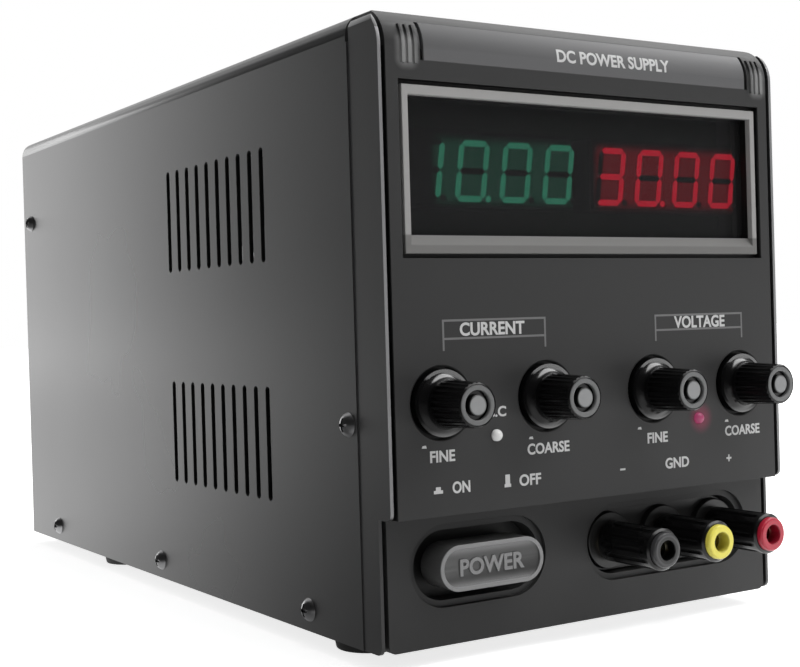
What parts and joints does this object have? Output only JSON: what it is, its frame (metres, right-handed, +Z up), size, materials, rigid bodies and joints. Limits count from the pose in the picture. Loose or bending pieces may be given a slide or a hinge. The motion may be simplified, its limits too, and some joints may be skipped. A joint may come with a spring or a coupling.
{
  "type": "laboratory power supply",
  "caption": "Bench laboratory power supply with a folded sheet case, dark moulded front, digital readouts, control knobs, push switch, binding posts, rear fan and fused mains inlet.",
  "frame": {"origin": "on the floor plane, under the middle of the whole length and width", "axes": "+Z up, front panel faces -Y, +X to the right seen from the front"},
  "size_m": [0.135, 0.2872, 0.1585],
  "materials": {
    "case_paint": "satin",
    "zinc_steel": "satin",
    "panel": "matte",
    "strip": "satin",
    "light_frame": "satin",
    "window": "polished",
    "readout_green": "satin",
    "readout_red": "satin",
    "board": "satin",
    "white_lamp": "polished",
    "red_lamp": "polished",
    "knob_black": "matte",
    "knob_light": "satin",
    "button": "matte",
    "black_plastic": "satin",
    "yellow_plastic": "satin",
    "red_plastic": "satin",
    "white_plastic": "satin",
    "plated_brass": "polished",
    "bright_steel": "polished",
    "glass_tube": "polished",
    "sink_metal": "satin",
    "sleeve": "satin",
    "ferrite": "matte",
    "copper": "satin",
    "foot_rubber": "matte"
  },
  "bodies": {
    "case": {"top_cover": "case_paint", "base_chassis": "case_paint", "rear_panel": "case_paint", "front_panel": "panel", "header_strip": "strip", "display_frame": "light_frame", "display_window": "window", "current_readout": "readout_green", "voltage_readout": "readout_red", "display_board": "board", "control_board": "board", "cc_lamp": "white_lamp", "cv_lamp": "red_lamp", "pot_nuts": "zinc_steel", "power_switch": "black_plastic", "terminal_plate": "black_plastic", "post_nuts": "plated_brass", "fan_frame": "black_plastic", "fan_guard": "bright_steel", "mains_inlet": "black_plastic", "inlet_pins": "plated_brass", "voltage_selector": "black_plastic", "main_board": "board", "heatsinks": "sink_metal", "bulk_capacitors": "sleeve", "transformer": "ferrite", "output_choke": "copper", "feet": "foot_rubber", "case_screws": "bright_steel", "current_fine_pot": "zinc_steel", "current_coarse_pot": "zinc_steel", "voltage_fine_pot": "zinc_steel", "voltage_coarse_pot": "zinc_steel", "negative_post": "plated_brass", "ground_post": "plated_brass", "positive_post": "plated_brass"},
    "current_fine_control": {"current_fine_knob": "knob_black", "current_fine_cap": "knob_light", "current_fine_shaft": "sink_metal"},
    "current_coarse_control": {"current_coarse_knob": "knob_black", "current_coarse_cap": "knob_light", "current_coarse_shaft": "sink_metal"},
    "voltage_fine_control": {"voltage_fine_knob": "knob_black", "voltage_fine_cap": "knob_light", "voltage_fine_shaft": "sink_metal"},
    "voltage_coarse_control": {"voltage_coarse_knob": "knob_black", "voltage_coarse_cap": "knob_light", "voltage_coarse_shaft": "sink_metal"},
    "switch_button": {"power_button": "button", "switch_plunger": "white_plastic"},
    "negative_slide": {"negative_ring": "black_plastic"},
    "negative_screw": {"negative_cap": "black_plastic"},
    "ground_slide": {"ground_ring": "yellow_plastic"},
    "ground_screw": {"ground_cap": "black_plastic"},
    "positive_slide": {"positive_ring": "red_plastic"},
    "positive_screw": {"positive_cap": "black_plastic"},
    "rotor": {"fan_rotor": "black_plastic"},
    "drawer": {"fuse_drawer": "black_plastic", "fuse": "glass_tube"},
    "slider": {"selector_slider": "red_plastic"}
  },
  "joints": [
    {"name": "current_fine_turn", "type": "hinge", "parent": "case", "child": "current_fine_control", "pos_m": [-0.0499, -0.12875, 0.0641], "axis": [0, -1, 0], "range_deg": [-150, 150]},
    {"name": "current_coarse_turn", "type": "hinge", "parent": "case", "child": "current_coarse_control", "pos_m": [-0.018, -0.12875, 0.0641], "axis": [0, -1, 0], "range_deg": [-150, 150]},
    {"name": "voltage_fine_turn", "type": "hinge", "parent": "case", "child": "voltage_fine_control", "pos_m": [0.018, -0.12875, 0.0641], "axis": [0, -1, 0], "range_deg": [-150, 150]},
    {"name": "voltage_coarse_turn", "type": "hinge", "parent": "case", "child": "voltage_coarse_control", "pos_m": [0.0499, -0.12875, 0.0641], "axis": [0, -1, 0], "range_deg": [-150, 150]},
    {"name": "button_push", "type": "slide", "parent": "case", "child": "switch_button", "axis": [0, 1, 0], "range_m": [-0.0035, 0.0008]},
    {"name": "negative_ring_travel", "type": "slide", "parent": "case", "child": "negative_slide", "axis": [0, -1, 0], "range_m": [0, 0.004]},
    {"name": "negative_cap_turn", "type": "hinge", "parent": "negative_slide", "child": "negative_screw", "pos_m": [0.00805, -0.12875, 0.024], "axis": [0, -1, 0], "range_deg": [0, 1440]},
    {"name": "ground_ring_travel", "type": "slide", "parent": "case", "child": "ground_slide", "axis": [0, -1, 0], "range_m": [0, 0.004]},
    {"name": "ground_cap_turn", "type": "hinge", "parent": "ground_slide", "child": "ground_screw", "pos_m": [0.0271, -0.12875, 0.024], "axis": [0, -1, 0], "range_deg": [0, 1440]},
    {"name": "positive_ring_travel", "type": "slide", "parent": "case", "child": "positive_slide", "axis": [0, -1, 0], "range_m": [0, 0.004]},
    {"name": "positive_cap_turn", "type": "hinge", "parent": "positive_slide", "child": "positive_screw", "pos_m": [0.04615, -0.12875, 0.024], "axis": [0, -1, 0], "range_deg": [0, 1440]},
    {"name": "fan_spin", "type": "hinge", "parent": "case", "child": "rotor", "pos_m": [0, 0.12125, 0.1005], "axis": [0, 1, 0], "continuous": true},
    {"name": "fuse_drawer_pull", "type": "slide", "parent": "case", "child": "drawer", "axis": [0, 1, 0], "range_m": [0, 0.016]},
    {"name": "selector_slide", "type": "slide", "parent": "case", "child": "slider", "axis": [1, 0, 0], "range_m": [0, 0.005]}
  ],
  "couplings": [
    {"joint": "negative_cap_turn", "follows": "negative_ring_travel", "rad_per_m": 6283.2},
    {"joint": "ground_cap_turn", "follows": "ground_ring_travel", "rad_per_m": 6283.2},
    {"joint": "positive_cap_turn", "follows": "positive_ring_travel", "rad_per_m": 6283.2}
  ]
}
